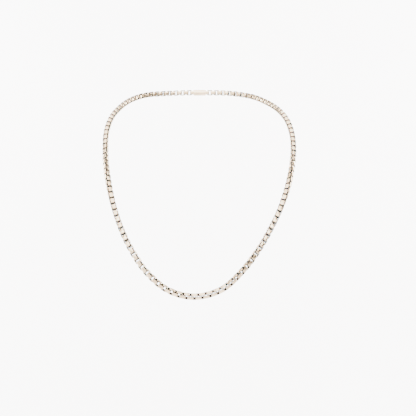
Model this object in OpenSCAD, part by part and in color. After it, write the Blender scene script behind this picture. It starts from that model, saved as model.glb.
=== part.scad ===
// Box chain necklace. Square links of flat silver strip hook through one another, each a
// quarter turn round from the last, and a plain barrel clasp closes the loop at the nape.
// Millimetres. The necklace is shaped as it is worn: Z is up, the wearer faces -Y, and the
// origin is the spot on the nape where the clasp rests.

/* [Links] */

// Length of one link along the chain, outside
link_l = 4.95; // [4.75:0.05:5.5]
// Width of one link across the chain, outside
link_w = 4.9; // [4.3:0.05:5.3]
// Thickness of the strip that each link is bent from
wall_t = 0.7; // [0.55:0.05:0.8]
// Radius inside each bent corner of a link
bend_r = 0.15; // [0.1:0.05:0.3]
// Clearance along the chain between two hooked end walls
end_gap = 0.32; // [0.28:0.02:0.5]
// Clearance at each edge of a strip inside the next link
side_gap = 0.26; // [0.24:0.02:0.4]

/* [Loop] */

// Length of the whole necklace, once round with its clasp
chain_len = 711; // [640:1:760]

/* [Clasp] */

// Length of the clasp's barrel, without its eyes
clasp_l = 12; // [9:0.5:16]
// Diameter of the barrel
clasp_d = 5.4; // [5:0.1:7]
// Rounding of the barrel's two ends
clasp_r = 1; // [0.4:0.1:1.8]
// How far the middle of each eye stands out of the barrel's end
eye_out = 0.7; // [0.5:0.1:1.2]

/* [Hidden] */

$fn = 24;
silver = [0.80, 0.80, 0.79];

// The run of the chain from the clasp's right eye down to the front and up to its left eye.
// Columns: x, y, z of a point on the run, then how far the links are turned about the run there.
route = [
    [29.5, -4, -1, 135],
    [50, -15, -5, 135],
    [63.5, -32.5, -12, 131],
    [73.5, -52.5, -20.5, 120],
    [80.5, -71.5, -31.5, 105],
    [84, -89.5, -45.5, 93],
    [84, -107.5, -61, 76],
    [81.5, -124, -77, 47],
    [77, -140, -94, 17],
    [70.5, -154.5, -111, -7],
    [61.5, -167.5, -128.5, -23],
    [50.5, -177.5, -146.5, -40],
    [37, -183.5, -164, -65],
    [19.5, -185.5, -179.5, -82],
    [-3, -186, -185.5, -86],
    [-25, -185.5, -180, -68],
    [-43, -183.5, -165, -48],
    [-56, -178, -146.5, -32],
    [-65.5, -167.5, -128, -17],
    [-72.5, -154.5, -109.5, -6],
    [-77.5, -140, -92, 15],
    [-81, -124, -75.5, 45],
    [-83, -107, -59, 71],
    [-83.5, -89.5, -43.5, 87],
    [-80.5, -71, -29.5, 104],
    [-74, -52, -18.5, 120],
    [-64.5, -32, -9.5, 131],
    [-50.5, -14.5, -3.5, 135],
    [-30, -3.5, -1, 135]
];
// Turn of the links where the run meets the clasp, which sets its eyes level
eye_turn = 135;
// Square to the slanting loop, the way that a link with no turn faces
loop_normal = [0, -1, 1] / sqrt(2);
// Pieces that the run between two route points is divided into
steps = 16;

strip_w = link_w - 2 * wall_t - 2 * side_gap;
hook_pitch = link_l - 2 * wall_t - end_gap;
eye_x = clasp_l / 2 + eye_out;

// Route points grown from the clasp so that the loop has its named length
drawn_len = run_len(smooth(with_ends(1)));
growth = (chain_len - 2 * eye_x) / drawn_len;
run = smooth(with_ends(growth));
along = run_sums(run);
total = along[len(along) - 1];

// An odd count of links leaves both end links square to the clasp's eyes
link_steps = 2 * ceil(total / hook_pitch / 2);
pitch = total / link_steps;

x_at = [for (i = [0:len(run) - 1]) [along[i], run[i].x]];
y_at = [for (i = [0:len(run) - 1]) [along[i], run[i].y]];
z_at = [for (i = [0:len(run) - 1]) [along[i], run[i].z]];
turn_at = [for (i = [0:len(run) - 1]) [along[i], run[i][3]]];

function with_ends(k) = concat(
    [[eye_x, 0, 0, eye_turn]],
    [for (p = route) [p.x * k, p.y * k, p.z * k, p[3]]],
    [[-eye_x, 0, 0, eye_turn]]
);

// A smooth curve through every point, leaving both of the clasp's eyes straight along X
function smooth(pts) =
    let (last = len(pts) - 1)
    concat(
        [
            for (i = [0:last - 1])
            let (a = i > 0 ? pts[i - 1] : across(pts[1], pts[0]))
            let (d = i < last - 1 ? pts[i + 2] : across(pts[last - 1], pts[last]))
            for (j = [0:steps - 1])
            between(a, pts[i], pts[i + 1], d, j / steps)
        ],
        [pts[last]]
    );

// Point p mirrored to the other side of the upright plane through q
function across(p, q) = [2 * q.x - p.x, p.y, p.z, p[3]];

function between(a, b, c, d, t) =
    (2 * b + (c - a) * t + (2 * a - 5 * b + 4 * c - d) * t ^ 2
        + (3 * b - a - 3 * c + d) * t ^ 3) / 2;

function place(p) = [p.x, p.y, p.z];

function run_sums(pts) = [
    for (i = 0, s = 0; i < len(pts); i = i + 1, s = s + hop(pts, i)) s
];

function hop(pts, i) = i < len(pts) ? norm(place(pts[i]) - place(pts[i - 1])) : 0;

function run_len(pts) =
    let (sums = run_sums(pts))
    sums[len(sums) - 1];

function point_at(s) = [lookup(s, x_at), lookup(s, y_at), lookup(s, z_at)];

function unit(v) = v / norm(v);

// Flat outline with four round corners
module round_rect(l, w, r) {
    square([l - 2 * r, w], center = true);
    square([l, w - 2 * r], center = true);
    for (sx = [-1, 1])
        for (sy = [-1, 1])
            translate([sx * (l / 2 - r), sy * (w / 2 - r)])
                circle(r);
}

// One link about its middle: its length along X, its hole along Z
module link() {
    translate([0, 0, -strip_w / 2])
        linear_extrude(strip_w)
            difference() {
                round_rect(link_l, link_w, bend_r + wall_t);
                round_rect(link_l - 2 * wall_t, link_w - 2 * wall_t, bend_r);
            }
}

// A link on the run, every other one a quarter turn further round
module placed_link(i) {
    s = i * pitch;
    ahead = unit(point_at(s + pitch / 2) - point_at(s - pitch / 2));
    turn = lookup(s, turn_at) + (i % 2) * 90;
    face = unit(loop_normal - (loop_normal * ahead) * ahead);
    hole = cos(turn) * face + sin(turn) * cross(ahead, face);
    side = cross(hole, ahead);
    p = point_at(s);
    multmatrix([
        [ahead.x, side.x, hole.x, p.x],
        [ahead.y, side.y, hole.y, p.y],
        [ahead.z, side.z, hole.z, p.z],
        [0, 0, 0, 1]
    ])
        link();
}

module chain() {
    color(silver)
        translate([0, clasp_d / 2, 0])
            for (i = [1:link_steps - 1])
                placed_link(i);
}

module clasp() {
    color(silver)
        translate([0, clasp_d / 2, 0]) {
            rotate([0, 90, 0])
                rotate_extrude()
                    intersection() {
                        round_rect(clasp_d, clasp_l, clasp_r);
                        translate([0, -clasp_l / 2])
                            square([clasp_d / 2, clasp_l]);
                    }
            for (sx = [-1, 1])
                translate([sx * eye_x, 0, 0])
                    link();
        }
}

chain();
clasp();
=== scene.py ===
"""Box chain necklace: worn silver links with painted shade inside them and on their cut edges, and
a barrel clasp in a pale, softly lit studio.
"""

import math
import random

import bmesh
import bpy
import numpy as np
from mathutils import Matrix, Vector


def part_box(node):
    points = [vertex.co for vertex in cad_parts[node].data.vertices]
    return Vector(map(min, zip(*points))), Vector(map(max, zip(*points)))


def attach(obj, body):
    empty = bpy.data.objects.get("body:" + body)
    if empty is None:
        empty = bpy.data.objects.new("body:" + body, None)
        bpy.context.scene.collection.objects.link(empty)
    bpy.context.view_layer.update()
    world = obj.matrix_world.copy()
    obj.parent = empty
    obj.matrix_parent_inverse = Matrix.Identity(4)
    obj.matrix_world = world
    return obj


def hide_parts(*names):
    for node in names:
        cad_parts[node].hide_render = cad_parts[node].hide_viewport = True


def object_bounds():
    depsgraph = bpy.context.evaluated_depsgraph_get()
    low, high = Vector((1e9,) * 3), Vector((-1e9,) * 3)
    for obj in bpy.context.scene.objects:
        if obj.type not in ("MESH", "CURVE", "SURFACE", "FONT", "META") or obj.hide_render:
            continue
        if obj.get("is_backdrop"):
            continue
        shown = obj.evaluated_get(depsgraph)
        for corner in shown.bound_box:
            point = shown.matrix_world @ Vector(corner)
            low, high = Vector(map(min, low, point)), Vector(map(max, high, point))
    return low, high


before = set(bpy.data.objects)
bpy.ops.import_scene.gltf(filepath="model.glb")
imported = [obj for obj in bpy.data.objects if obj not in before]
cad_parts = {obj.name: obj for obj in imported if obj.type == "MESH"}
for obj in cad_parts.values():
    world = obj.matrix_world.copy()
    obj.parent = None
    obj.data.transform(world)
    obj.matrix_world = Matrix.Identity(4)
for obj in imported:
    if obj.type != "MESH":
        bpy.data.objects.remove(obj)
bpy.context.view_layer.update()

bl_info = {
    "name": "Box Chain Necklace",
    "version": (1, 0, 0),
    "blender": (4, 5, 0),
    "location": "View3D > Sidebar > Necklace",
    "description": "Finishes the links and clasp of a box chain necklace and lights them",
    "category": "Object",
}

MM = 0.001
# Metres within which two corners of a frame mesh are one
WELD = 1e-7
# Millimetres within which two places on a link count as one
TINY = 1e-3
# Faces that meet at less than this are shaded as one smooth bend
SMOOTH_ANGLE = math.radians(50)
# Edges sharper than this on a link's rims are rounded
RIM_ANGLE = math.radians(80)
CORNER_STEPS = 2
EYE_RIM_STEPS = 3
BARREL_SIDES = 64
BARREL_STEPS = 5
LINK_SEED = 7

# Scale and detail of each noise in the silver and the paper, and its roughness if not a half
PATCH_NOISE = (420.0, 4.0, 0.6)
BLOOM_AND_REFLECTION_NOISE = (90.0, 3.0)
HAIRLINE_NOISE = (2.2, 2.0, 0.7)
SCUFF_NOISE = (1900.0, 2.0, 0.6)
WAVE_NOISE = (330.0, 1.0)
MOTTLE_NOISE = (2.5, 4.0)
FIBRE_NOISE = (350.0, 3.0)
# Depth in metres and strength of the relief that some of them make
WAVE_RELIEF = (0.00022, 0.6)
HAIRLINE_RELIEF = (0.000006, 0.5)
SCUFF_RELIEF = (0.000010, 0.45)
FIBRE_RELIEF = (0.0002, 0.2)
# Stretch of the hairlines, which run along a link, and bulge of its faces each way
HAIRLINE_STRETCH = (0.7, 0.7, 17.0)
FACE_BULGE = (0.22, 0.22, 0.32)


# Reading the frame


def loose_parts(node):
    """The vertices of each loose solid in a frame node, in millimetres."""
    solid = bmesh.new()
    solid.from_mesh(node.data)
    bmesh.ops.remove_doubles(solid, verts=solid.verts, dist=WELD)
    parts = []
    seen = set()
    for start in solid.verts:
        if start.index in seen:
            continue
        seen.add(start.index)
        reached = [start]
        for vert in reached:
            for edge in vert.link_edges:
                other = edge.other_vert(vert)
                if other.index not in seen:
                    seen.add(other.index)
                    reached.append(other)
        parts.append(np.array([v.co for v in reached]) / MM)
    solid.free()
    return parts


def link_place(points, ahead):
    """A link's place from its corners: X runs on along the chain, Z goes through its hole."""
    middle = points.mean(axis=0)
    hole, *level = np.linalg.eigh(np.cov((points - middle).T))[1].T
    along = max(level, key=lambda axis: abs(axis @ ahead))
    across = np.cross(hole, along)
    place = np.identity(4)
    place[:3, :3] = np.column_stack((along, across, hole))
    place[:3, 3] = middle
    return Matrix(place.tolist())


def extent(points, axis):
    reach = points @ np.array(axis)
    return float(reach.max() - reach.min())


def link_places(links):
    """The place of every link, each one's way ahead taken from the two links next to it."""
    middles = np.array([points.mean(axis=0) for points in links])
    found = []
    for points, middle in zip(links, middles):
        near = middles[np.argsort(np.linalg.norm(middles - middle, axis=1))[:3]]
        ahead = near[1] - near[2]
        found.append(link_place(points, ahead))
    return found


LINKS = loose_parts(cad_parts["chain"])
LINK_PLACES = link_places(LINKS)
LINK_L, LINK_W, STRIP_W = (extent(LINKS[0], LINK_PLACES[0].col[i][:3]) for i in range(3))
CLASP_LOW, CLASP_HIGH = (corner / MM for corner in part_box("clasp"))


# Sizes and finishes


class LinkSizes(bpy.types.PropertyGroup):
    wall: bpy.props.FloatProperty(
        name="Strip thickness", description="Thickness of a link's strip in millimetres",
        default=0.6, min=0.3, max=1.0)
    corner: bpy.props.FloatProperty(
        name="Corner radius", description="Outside radius of a link's bent corners in millimetres",
        default=0.85, min=0.3, max=1.2)
    rim: bpy.props.FloatProperty(
        name="Rim rounding", description="Rounding of the strip's long edges in millimetres",
        default=0.18, min=0.02, max=0.3)


class ClaspSizes(bpy.types.PropertyGroup):
    barrel: bpy.props.FloatProperty(
        name="Barrel length", description="Length of the barrel in millimetres",
        default=12.0, min=6.0, max=20.0)
    rounding: bpy.props.FloatProperty(
        name="End rounding", description="Rounding of the barrel's ends in millimetres",
        default=1.0, min=0.2, max=2.0)


class SilverFinish(bpy.types.PropertyGroup):
    silver: bpy.props.FloatVectorProperty(
        name="Silver", description="Colour of the clean polished silver",
        subtype="COLOR", size=4, default=(0.55, 0.43, 0.29, 1.0), min=0.0, max=1.0)
    # Near-black tarnish colour: real tarnish inside the links, and painted shade where shade falls
    # in their holes.
    tarnish_with_shade: bpy.props.FloatVectorProperty(
        name="Tarnish", description="Colour of the matte tarnish inside the links",
        subtype="COLOR", size=4, default=(0.024, 0.015, 0.009, 1.0), min=0.0, max=1.0)
    # Bloom colour: real yellow bloom, and a painted warm reflection on the faces.
    bloom_and_reflection: bpy.props.FloatVectorProperty(
        name="Bloom", description="Colour of the faint yellow bloom on worn faces",
        subtype="COLOR", size=4, default=(0.30, 0.21, 0.115, 1.0), min=0.0, max=1.0)
    # Near-black edge colour: the matte cut edges of the strip, and painted shade on those edges.
    edges: bpy.props.FloatVectorProperty(
        name="Edges", description="Colour of the dull cut edges of the strip",
        subtype="COLOR", size=4, default=(0.055, 0.037, 0.023, 1.0), min=0.0, max=1.0)


class StudioSettings(bpy.types.PropertyGroup):
    paper: bpy.props.FloatVectorProperty(
        name="Paper", description="Colour of the floor and backdrop paper",
        subtype="COLOR", size=4, default=(0.93, 0.925, 0.93, 1.0), min=0.0, max=1.0)
    floor_drop: bpy.props.FloatProperty(
        name="Floor drop", description="How far the floor lies below the clasp",
        default=0.80, min=0.3, max=2.0, unit="LENGTH")
    wall_back: bpy.props.FloatProperty(
        name="Wall distance", description="How far the backdrop stands behind the clasp",
        default=1.60, min=0.5, max=4.0, unit="LENGTH")
    focal: bpy.props.FloatProperty(
        name="Focal length", description="Camera lens in millimetres",
        default=111.4, min=30.0, max=200.0)
    eye: bpy.props.FloatVectorProperty(
        name="Camera place", description="Where the camera stands",
        subtype="TRANSLATION", size=3, default=(0.0081, -1.240, -0.1112), unit="LENGTH")


# Material helpers


def new_material(name):
    """A new material with its shader and output, and nothing else."""
    made = bpy.data.materials.new(name)
    made.use_nodes = True
    nodes = made.node_tree.nodes
    nodes.clear()
    shader = nodes.new("ShaderNodeBsdfPrincipled")
    out = nodes.new("ShaderNodeOutputMaterial")
    made.node_tree.links.new(shader.outputs["BSDF"], out.inputs["Surface"])
    return made, shader


def add_node(made, kind, inputs=None, **settings):
    """A node with its settings, and its inputs set to numbers or linked from other sockets."""
    node = made.node_tree.nodes.new(kind)
    for key, value in settings.items():
        setattr(node, key, value)
    for key, value in (inputs or {}).items():
        if isinstance(value, bpy.types.NodeSocket):
            made.node_tree.links.new(value, node.inputs[key])
        else:
            node.inputs[key].default_value = value
    return node


def attribute(made, name, output="Fac"):
    return add_node(made, "ShaderNodeAttribute", attribute_name=name).outputs[output]


def object_place(made):
    return add_node(made, "ShaderNodeTexCoord").outputs["Object"]


def stretched(made, vector, scale):
    return add_node(
        made, "ShaderNodeMapping", {"Vector": vector, "Scale": scale}).outputs["Vector"]


def noise(made, vector, scale, detail=3.0, rough=0.5):
    return add_node(
        made, "ShaderNodeTexNoise",
        {"Vector": vector, "Scale": scale, "Detail": detail, "Roughness": rough}).outputs["Fac"]


def spread(made, value, low, high, to_low=0.0, to_high=1.0):
    """A value spread from one range to another and held inside it."""
    return add_node(
        made, "ShaderNodeMapRange",
        {"Value": value, "From Min": low, "From Max": high, "To Min": to_low, "To Max": to_high},
        clamp=True).outputs["Result"]


def maths(made, operation, first, second=0.0, clamp=False):
    return add_node(
        made, "ShaderNodeMath", {0: first, 1: second}, operation=operation,
        use_clamp=clamp).outputs["Value"]


def blend_colour(made, share, first, second):
    mix = add_node(made, "ShaderNodeMix", {"Factor": share}, data_type="RGBA")
    for slot, value in ((6, first), (7, second)):
        if isinstance(value, bpy.types.NodeSocket):
            made.node_tree.links.new(value, mix.inputs[slot])
        else:
            mix.inputs[slot].default_value = value
    return mix.outputs[2]


def square_sum(made, vector, scale):
    """Squared length of a place measured in scaled steps."""
    scaled = add_node(made, "ShaderNodeVectorMath", {0: vector, 1: scale}, operation="MULTIPLY")
    return add_node(
        made, "ShaderNodeVectorMath", {0: scaled.outputs["Vector"], 1: scaled.outputs["Vector"]},
        operation="DOT_PRODUCT").outputs["Value"]


def raised(made, height, depth, strength=1.0, onto=None):
    inputs = {"Height": height, "Distance": depth, "Strength": strength}
    if onto is not None:
        inputs["Normal"] = onto
    return add_node(made, "ShaderNodeBump", inputs).outputs["Normal"]


def worn_silver_with_painted_shade(finish):
    """Warm polished silver: dull cut edges darkened with painted shade, tarnish and painted shade
    inside the links, bloom that also paints a warm reflection, and fine scratches.
    """
    made, shader = new_material("worn_silver_with_painted_shade")
    link = made.node_tree.links.new
    place = attribute(made, "on_link", "Vector")
    depth = attribute(made, "inside")
    cut = attribute(made, "cut_edge")
    tone = attribute(made, "link_tone")
    room = object_place(made)

    patches = noise(made, room, *PATCH_NOISE)
    # Painted shade: the hole and end walls take the near-black, matte, non-metallic tarnish
    # colour, both as tarnish and as the shade that falls there.
    ragged = maths(made, "ADD", depth, spread(made, patches, 0.3, 0.7, -0.15, 0.15))
    tarnish_and_shade_share = spread(made, ragged, 0.35, 0.75)
    # Noise patches and a random tone per link tint the faces toward the bloom colour: part bloom,
    # part painted warm reflection.
    lapped = spread(made, noise(made, room, *BLOOM_AND_REFLECTION_NOISE), 0.42, 0.70, 0.0, 0.65)
    bloom_and_reflection = maths(made, "ADD", lapped, maths(made, "MULTIPLY", tone, 0.35), clamp=True)
    faces = blend_colour(made, bloom_and_reflection, tuple(finish.silver), tuple(finish.bloom_and_reflection))
    # Painted shade: the strip's cut edges darken toward the edge colour, partly a matte finish and
    # partly shade.
    dull_and_shaded = maths(made, "MULTIPLY", cut, spread(made, patches, 0.3, 0.6, 0.55, 1.0))
    clean = blend_colour(made, dull_and_shaded, faces, tuple(finish.edges))
    link(blend_colour(made, tarnish_and_shade_share, clean, tuple(finish.tarnish_with_shade)), shader.inputs["Base Color"])

    hairlines = noise(made, stretched(made, place, HAIRLINE_STRETCH), *HAIRLINE_NOISE)
    scuffs = noise(made, room, *SCUFF_NOISE)
    polish = spread(made, hairlines, 0.3, 0.75, 0.13, 0.27)
    dulled = maths(made, "ADD", polish, maths(made, "MULTIPLY", tarnish_and_shade_share, 0.5))
    link(maths(made, "ADD", dulled, maths(made, "MULTIPLY", bloom_and_reflection, 0.08)),
         shader.inputs["Roughness"])
    link(spread(made, tarnish_and_shade_share, 0.0, 1.0, 1.0, 0.0), shader.inputs["Metallic"])

    bulge = maths(made, "MULTIPLY", square_sum(made, place, FACE_BULGE), -1.0)
    pillow = raised(made, bulge, MM)
    waves = raised(made, noise(made, room, *WAVE_NOISE), *WAVE_RELIEF, pillow)
    lines = raised(made, hairlines, *HAIRLINE_RELIEF, waves)
    link(raised(made, scuffs, *SCUFF_RELIEF, lines), shader.inputs["Normal"])
    shader.inputs["Specular IOR Level"].default_value = 0.1
    return made


def studio_paper(studio):
    """Matte backdrop paper with a faint mottle and fibre."""
    made, shader = new_material("studio_paper")
    link = made.node_tree.links.new
    room = object_place(made)
    shade = tuple(0.975 * c for c in studio.paper[:3]) + (1.0,)
    mottle = spread(made, noise(made, room, *MOTTLE_NOISE), 0.35, 0.65)
    link(blend_colour(made, mottle, tuple(studio.paper), shade), shader.inputs["Base Color"])
    link(raised(made, noise(made, room, *FIBRE_NOISE), *FIBRE_RELIEF), shader.inputs["Normal"])
    shader.inputs["Roughness"].default_value = 0.9
    return made


# Modelling helpers


def select_only(*objects):
    bpy.ops.object.select_all(action="DESELECT")
    for obj in objects:
        obj.select_set(True)
    bpy.context.view_layer.objects.active = objects[0]


def pick(obj, want_face=None, want_edge=None):
    """Selects, in edit mode, the faces or the edges that pass a test, and nothing else."""
    bpy.ops.mesh.select_all(action="DESELECT")
    bpy.ops.mesh.select_mode(type="FACE" if want_face else "EDGE")
    mesh = bmesh.from_edit_mesh(obj.data)
    for item in mesh.faces if want_face else mesh.edges:
        item.select_set((want_face or want_edge)(item))
    mesh.select_flush_mode()
    bmesh.update_edit_mesh(obj.data)


def upright_edge(edge):
    a, b = (v.co for v in edge.verts)
    return abs(a.x - b.x) < TINY and abs(a.y - b.y) < TINY and abs(a.z - b.z) > TINY


def apply_modifier(obj, kind, **settings):
    select_only(obj)
    made = obj.modifiers.new("step", kind)
    for key, value in settings.items():
        setattr(made, key, value)
    bpy.ops.object.modifier_apply(modifier=made.name)


def rim_edge(edge):
    a, b = (v.co for v in edge.verts)
    sharp = len(edge.link_faces) == 2 and edge.calc_face_angle() > RIM_ANGLE
    return sharp and abs(a.z - b.z) < TINY


def model_link(sizes, rim_steps=1):
    """One square link in millimetres about its middle, its hole along Z."""
    bpy.ops.object.select_all(action="DESELECT")
    bpy.ops.mesh.primitive_cube_add(size=1.0, location=(0, 0, 0), scale=(LINK_L, LINK_W, STRIP_W))
    obj = bpy.context.object
    bpy.ops.object.transform_apply(location=False, rotation=False, scale=True)
    bpy.ops.object.mode_set(mode="EDIT")
    pick(obj, want_face=lambda f: abs(f.normal.z) > 0.9)
    bpy.ops.mesh.inset(thickness=sizes.wall, use_even_offset=True)
    bpy.ops.mesh.bridge_edge_loops()
    half_l = LINK_L / 2
    pick(obj, want_edge=lambda e: upright_edge(e) and abs(abs(e.verts[0].co.x) - half_l) < TINY)
    bpy.ops.mesh.bevel(offset=sizes.corner, segments=CORNER_STEPS, affect="EDGES")
    pick(obj, want_edge=rim_edge)
    bpy.ops.mesh.bevel(offset=sizes.rim, segments=rim_steps, affect="EDGES")
    bpy.ops.mesh.select_all(action="SELECT")
    bpy.ops.mesh.normals_make_consistent(inside=False)
    bpy.ops.object.mode_set(mode="OBJECT")
    smooth_bends(obj)
    return obj


def smooth_bends(obj):
    """Shades the bends and bevels smooth and keeps the flat faces flat."""
    select_only(obj)
    bpy.ops.object.shade_smooth_by_angle(angle=SMOOTH_ANGLE)
    apply_modifier(obj, "WEIGHTED_NORMAL", keep_sharp=True, weight=100)


def note(mesh, name, values):
    """Keeps a number, or a place, for every vertex under a name that a material can read."""
    values = np.asarray(values, dtype=np.float32)
    if values.ndim == 2:
        made = mesh.attributes.new(name, "FLOAT_VECTOR", "POINT")
        made.data.foreach_set("vector", values.ravel())
    else:
        made = mesh.attributes.new(name, "FLOAT", "POINT")
        made.data.foreach_set("value", values)


def places(mesh):
    return np.array([vert.co for vert in mesh.vertices])


def hidden_share(here, sizes):
    """1 in a link's hole and on its end walls, 0 on the outside of its long sides."""
    x, y = abs(here[:, 0]), abs(here[:, 1])
    half_l, half_w = LINK_L / 2 - sizes.wall, LINK_W / 2 - sizes.wall
    in_hole = 1.0 - np.clip(np.maximum(x - half_l, y - half_w) / sizes.rim, 0.0, 1.0)
    fade = 0.6 * sizes.wall
    end_wall = 1.0 - np.clip((y - half_w) / fade, 0.0, 1.0)
    return np.maximum(in_hole, end_wall)


def cut_share(here, sizes):
    """1 on the strip's cut edges, 0 elsewhere."""
    return abs(here[:, 2]) > STRIP_W / 2 - sizes.rim / 2


def note_link_places(obj, sizes):
    """Keeps each corner's place on the link, and what kind of surface it lies on."""
    here = places(obj.data)
    note(obj.data, "on_link", here)
    # The inside mask places the tarnish and the painted shade in the hole and on the end walls.
    note(obj.data, "inside", hidden_share(here, sizes))
    note(obj.data, "cut_edge", cut_share(here, sizes))
    return obj


def finish_piece(obj, name, material, node):
    """Names a finished piece and lets it stand for its frame node."""
    obj.name = obj.data.name = name
    obj.data.materials.clear()
    obj.data.materials.append(material)
    select_only(obj)
    bpy.ops.object.shade_smooth_by_angle(angle=SMOOTH_ANGLE)
    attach(obj, "root")
    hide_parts(node)


# Pieces


class NECKLACE_OT_chain(bpy.types.Operator):
    """Bevels one link and hangs a copy of it on every link of the chain"""

    bl_idname = "necklace.chain"
    bl_label = "Box chain"

    def execute(self, context):
        sizes = context.scene.link_sizes
        pattern = note_link_places(model_link(sizes), sizes)
        shades = random.Random(LINK_SEED)
        links = []
        for place in LINK_PLACES:
            copy = pattern.copy()
            copy.data = pattern.data.copy()
            context.collection.objects.link(copy)
            note(copy.data, "link_tone", np.full(len(copy.data.vertices), shades.random()))
            copy.data.transform(Matrix.Scale(MM, 4) @ place)
            links.append(copy)
        bpy.data.objects.remove(pattern)
        select_only(*links)
        bpy.ops.object.join()
        finish_piece(context.object, "box_chain", worn_silver_with_painted_shade(context.scene.silver_finish),
                     "chain")
        return {"FINISHED"}


class NECKLACE_OT_clasp(bpy.types.Operator):
    """Turns the barrel, rounds its ends and fuses an eye to each of them"""

    bl_idname = "necklace.clasp"
    bl_label = "Barrel clasp"

    def execute(self, context):
        sizes = context.scene.clasp_sizes
        strip = context.scene.link_sizes
        across = CLASP_HIGH.z - CLASP_LOW.z
        bpy.ops.object.select_all(action="DESELECT")
        bpy.ops.mesh.primitive_cylinder_add(
            vertices=BARREL_SIDES, radius=across / 2, depth=sizes.barrel,
            location=(0, 0, 0), rotation=(0, math.pi / 2, 0))
        barrel = context.object
        bpy.ops.object.transform_apply(location=False, rotation=True, scale=False)
        apply_modifier(barrel, "BEVEL", width=sizes.rounding, segments=BARREL_STEPS,
                       limit_method="ANGLE", angle_limit=SMOOTH_ANGLE)
        eye_x = (CLASP_HIGH.x - CLASP_LOW.x - LINK_L) / 2
        for side in (-1, 1):
            eye = model_link(strip, rim_steps=EYE_RIM_STEPS)
            eye.data.transform(Matrix.Translation((side * eye_x, 0, 0)))
            apply_modifier(barrel, "BOOLEAN", object=eye, operation="UNION", solver="MANIFOLD")
            bpy.data.objects.remove(eye)
        smooth_bends(barrel)
        here = places(barrel.data)
        on_eye = abs(here[:, 0]) > sizes.barrel / 2 + TINY
        from_eye = here - np.outer(np.sign(here[:, 0]), (eye_x, 0.0, 0.0))
        note(barrel.data, "on_link", here * (0.1, 1.0, 1.0))
        # The eyes get the same tarnish and painted shade inside, and the same darkened cut edges.
        note(barrel.data, "inside", on_eye * hidden_share(from_eye, strip))
        note(barrel.data, "cut_edge", on_eye * cut_share(from_eye, strip))
        note(barrel.data, "link_tone", np.full(len(here), 0.2))
        barrel.data.transform(
            Matrix.Scale(MM, 4) @ Matrix.Translation((CLASP_LOW + CLASP_HIGH) / 2))
        finish_piece(barrel, "barrel_clasp", bpy.data.materials["worn_silver_with_painted_shade"],
                     "clasp")
        return {"FINISHED"}


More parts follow.
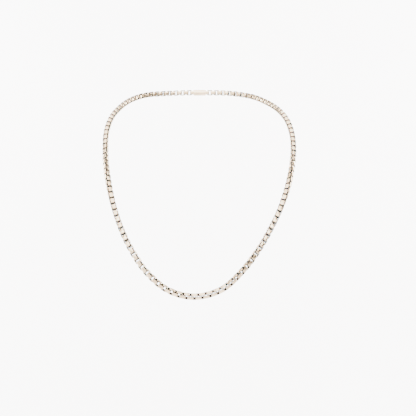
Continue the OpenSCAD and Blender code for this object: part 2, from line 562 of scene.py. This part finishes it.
class NECKLACE_OT_studio(bpy.types.Operator):
    """Lays the pale paper sweep, hangs the soft lights and stands the camera"""

    bl_idname = "necklace.studio"
    bl_label = "Studio"

    def execute(self, context):
        studio = context.scene.studio_settings
        self.sweep(studio)
        self.lights(context)
        self.sky(context)
        self.camera(context, studio)
        return {"FINISHED"}

    def sweep(self, studio):
        bpy.ops.object.select_all(action="DESELECT")
        bpy.ops.mesh.primitive_plane_add(size=1.0, location=(0, 0, 0))
        paper = bpy.context.object
        depth = studio.wall_back + 3.0
        paper.data.transform(Matrix.Diagonal((9.0, depth, 1.0, 1.0)))
        middle = studio.wall_back - depth / 2
        paper.data.transform(Matrix.Translation((0, middle, -studio.floor_drop)))
        bpy.ops.object.mode_set(mode="EDIT")
        back = studio.wall_back - MM
        pick(paper, want_edge=lambda e: all(v.co.y > back for v in e.verts))
        bpy.ops.mesh.extrude_region_move(TRANSFORM_OT_translate={"value": (0, 0, 4.0)})
        bpy.ops.mesh.select_all(action="SELECT")
        bpy.ops.mesh.normals_make_consistent(inside=False)
        bpy.ops.object.mode_set(mode="OBJECT")
        apply_modifier(paper, "BEVEL", width=0.6, segments=24, limit_method="ANGLE",
                       angle_limit=SMOOTH_ANGLE)
        bpy.ops.object.shade_smooth()
        paper.name = paper.data.name = "paper_sweep"
        paper.data.materials.append(studio_paper(studio))
        paper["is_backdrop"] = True

    def lights(self, context):
        """Hangs each light by its name, place, aim, size in metres, watts and colour."""
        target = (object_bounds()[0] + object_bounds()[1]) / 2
        for name, place, aim, size, power, colour in (
            ("key_softbox", (-1.9, -0.7, 0.1), target, (2.2, 2.2), 110.0, (1.0, 0.985, 0.96)),
            ("top_softbox", (-0.1, -0.3, 1.7), target, (2.2, 2.2), 160.0, (1.0, 0.99, 0.975)),
            ("front_softbox", (-0.2, -2.2, -0.3), target, (2.6, 2.0), 80.0, (1.0, 0.99, 0.97)),
            ("high_softbox", (0.15, -1.6, 1.1), target, (3.4, 1.2), 200.0, (1.0, 0.99, 0.97)),
            ("backdrop_lamp_left", (-1.3, 0.6, 0.4), (0.2, 1.6, -0.1), (0.4, 1.2), 90.0,
             (1.0, 1.0, 1.0)),
            ("backdrop_lamp_right", (1.3, 0.6, 0.4), (-0.2, 1.6, -0.1), (0.4, 1.2), 110.0,
             (1.0, 1.0, 1.0)),
        ):
            bpy.ops.object.light_add(type="AREA", location=place)
            lamp = context.object
            lamp.name = lamp.data.name = name
            lamp.data.shape = "RECTANGLE"
            lamp.data.size, lamp.data.size_y = size
            lamp.data.energy = power
            lamp.data.color = colour
            lamp.visible_camera = False
            way = Vector(aim) - Vector(place)
            lamp.rotation_euler = way.to_track_quat("-Z", "Y").to_euler()

    def sky(self, context):
        world = bpy.data.worlds.new("studio_air")
        context.scene.world = world
        world.use_nodes = True
        air = world.node_tree.nodes["Background"]
        air.inputs["Color"].default_value = (1.0, 0.86, 0.70, 1.0)
        air.inputs["Strength"].default_value = 0.7

    def camera(self, context, studio):
        bpy.ops.object.camera_add(location=studio.eye, rotation=(math.pi / 2, 0, 0))
        camera = context.object
        camera.name = camera.data.name = "front_camera"
        camera.data.sensor_width = 36.0
        camera.data.lens = studio.focal
        camera.data.clip_start = 0.01
        camera.data.clip_end = 50.0
        context.scene.camera = camera


class NECKLACE_PT_panel(bpy.types.Panel):
    """Steps and sizes of the necklace"""

    bl_idname = "NECKLACE_PT_panel"
    bl_label = "Box chain necklace"
    bl_space_type = "VIEW_3D"
    bl_region_type = "UI"
    bl_category = "Necklace"

    def draw(self, context):
        scene = context.scene
        for settings in (scene.link_sizes, scene.clasp_sizes, scene.silver_finish,
                         scene.studio_settings):
            box = self.layout.box()
            for name in settings.bl_rna.properties.keys():
                if name not in ("rna_type", "name"):
                    box.prop(settings, name)
        for step in STEPS:
            self.layout.operator(step.bl_idname)


SETTINGS = {
    "link_sizes": LinkSizes,
    "clasp_sizes": ClaspSizes,
    "silver_finish": SilverFinish,
    "studio_settings": StudioSettings,
}
STEPS = (NECKLACE_OT_chain, NECKLACE_OT_clasp, NECKLACE_OT_studio)


def register():
    for made in (*SETTINGS.values(), *STEPS, NECKLACE_PT_panel):
        bpy.utils.register_class(made)
    for name, group in SETTINGS.items():
        setattr(bpy.types.Scene, name, bpy.props.PointerProperty(type=group))


def unregister():
    for name in SETTINGS:
        delattr(bpy.types.Scene, name)
    for made in (NECKLACE_PT_panel, *STEPS, *SETTINGS.values()):
        bpy.utils.unregister_class(made)


def main():
    register()
    bpy.ops.necklace.chain()
    bpy.ops.necklace.clasp()
    bpy.ops.necklace.studio()


if __name__ == "__main__":
    main()
